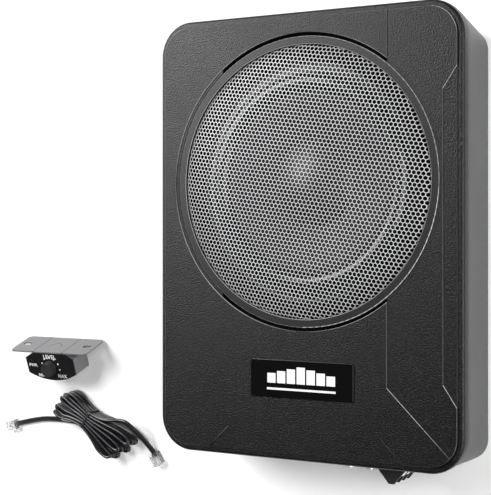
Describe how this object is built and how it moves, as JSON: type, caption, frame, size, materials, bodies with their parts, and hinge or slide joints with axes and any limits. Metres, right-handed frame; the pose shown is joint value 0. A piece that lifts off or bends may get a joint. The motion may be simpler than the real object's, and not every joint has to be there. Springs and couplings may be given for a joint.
{
  "type": "powered car subwoofer",
  "caption": "Flat under-seat powered car subwoofer with a round domed mesh grille, connector end and a wired level remote with its coiled flat lead.",
  "frame": {"origin": "middle of the enclosure's footprint on its base plate", "axes": "+Z out of the grille, +X across the enclosure's width, -Y towards the connector end; the remote and its lead lie on -X"},
  "size_m": [0.4815, 0.3766, 0.08],
  "materials": {
    "cover_black": "fine-grained semi-gloss moulded ABS",
    "shell_grey": "smooth satin powder coat on die-cast aluminium",
    "ring_black": "semi-gloss black ring with a bright turned edge",
    "mesh_grey": "powder-coated perforated steel",
    "badge_black": "polished black plate",
    "screw_black": "black oxide steel",
    "gasket_foam": "matt foam",
    "frame_steel": "black painted pressed steel",
    "surround_rubber": "matt butyl rubber",
    "cone_paper": "coated paper pulp",
    "coil_copper": "enamelled copper wire on a paper former",
    "spider_cloth": "resin-treated corrugated cotton",
    "magnet_ferrite": "ground ferrite",
    "plate_steel": "zinc-plated steel",
    "panel_black": "matt black printed steel",
    "zinc_steel": "bright zinc",
    "knob_black": "moulded black plastic",
    "lamp_red": "diffused red lens",
    "socket_black": "moulded black plastic",
    "nickel": "bright nickel plate",
    "insert_red": "moulded coloured insert",
    "fuse_orange": "clear tinted plastic",
    "board_green": "solder-masked fibreglass",
    "heatsink_aluminium": "extruded, as drawn",
    "capacitor_black": "shrink sleeve",
    "bracket_grey": "smooth grey powder coat on folded steel",
    "face_black": "gloss black panel with white print",
    "lead_black": "semi-gloss PVC flat cable",
    "plug_clear": "clear moulded plastic"
  },
  "bodies": {
    "enclosure": {"front_cover": "cover_black", "grille_ring": "ring_black", "grille_mesh": "mesh_grey", "badge_plate": "badge_black", "rear_shell": "shell_grey", "cover_screws": "screw_black", "woofer_gasket": "gasket_foam", "woofer_frame": "frame_steel", "woofer_screws": "screw_black", "surround": "surround_rubber", "spider": "spider_cloth", "magnet": "magnet_ferrite", "top_plate": "plate_steel", "pole_yoke": "plate_steel", "woofer_terminals": "plate_steel", "connector_panel": "panel_black", "panel_screws": "screw_black", "control_pots": "zinc_steel", "switch_bodies": "zinc_steel", "power_lamp": "lamp_red", "remote_socket": "socket_black", "speaker_socket": "socket_black", "speaker_pins": "nickel", "rca_jacks": "nickel", "rca_inserts": "insert_red", "power_terminal": "socket_black", "terminal_clamps": "nickel", "terminal_screws": "nickel", "fuse_holder": "socket_black", "fuse": "fuse_orange", "amplifier_board": "board_green", "board_screws": "zinc_steel", "heatsink": "heatsink_aluminium", "output_transistors": "socket_black", "reservoir_capacitors": "capacitor_black", "toroid_coil": "coil_copper", "power_transformer": "socket_black", "remote_bracket": "bracket_grey", "remote_housing": "bracket_grey", "remote_face": "face_black", "remote_board": "board_green", "remote_pot": "zinc_steel", "remote_lamp": "lamp_red", "remote_inlet": "socket_black", "lead_hank": "lead_black", "hank_tie": "screw_black", "lead_end_a": "lead_black", "lead_end_b": "lead_black", "lead_plug_a": "plug_clear", "lead_plug_b": "plug_clear"},
    "cone_assembly": {"cone": "cone_paper", "dust_cap": "cone_paper", "voice_coil": "coil_copper"},
    "gain_control": {"gain_knob": "knob_black"},
    "crossover_control": {"crossover_knob": "knob_black"},
    "boost_control": {"boost_knob": "knob_black"},
    "phase_switch": {"phase_slider": "knob_black"},
    "input_switch": {"input_slider": "knob_black"},
    "level_control": {"remote_knob": "knob_black"}
  },
  "joints": [
    {"name": "cone_travel", "type": "slide", "parent": "enclosure", "child": "cone_assembly", "axis": [0, 0, 1], "range_m": [-0.005, 0.005], "stiffness_N_per_m": 2500},
    {"name": "gain_turn", "type": "hinge", "parent": "enclosure", "child": "gain_control", "pos_m": [-0.092, -0.1717, 0.033], "axis": [0, -1, 0], "range_deg": [-140, 140]},
    {"name": "crossover_turn", "type": "hinge", "parent": "enclosure", "child": "crossover_control", "pos_m": [-0.076, -0.1717, 0.033], "axis": [0, -1, 0], "range_deg": [-140, 140]},
    {"name": "boost_turn", "type": "hinge", "parent": "enclosure", "child": "boost_control", "pos_m": [-0.06, -0.1717, 0.033], "axis": [0, -1, 0], "range_deg": [-140, 140]},
    {"name": "phase_slide", "type": "slide", "parent": "enclosure", "child": "phase_switch", "axis": [0, 0, 1], "range_m": [0, 0.004]},
    {"name": "input_slide", "type": "slide", "parent": "enclosure", "child": "input_switch", "axis": [0, 0, 1], "range_m": [0, 0.004]},
    {"name": "level_turn", "type": "hinge", "parent": "enclosure", "child": "level_control", "pos_m": [-0.283, -0.11962, 0.02414], "axis": [0, -0.3473, 0.9377], "range_deg": [-140, 140]}
  ]
}
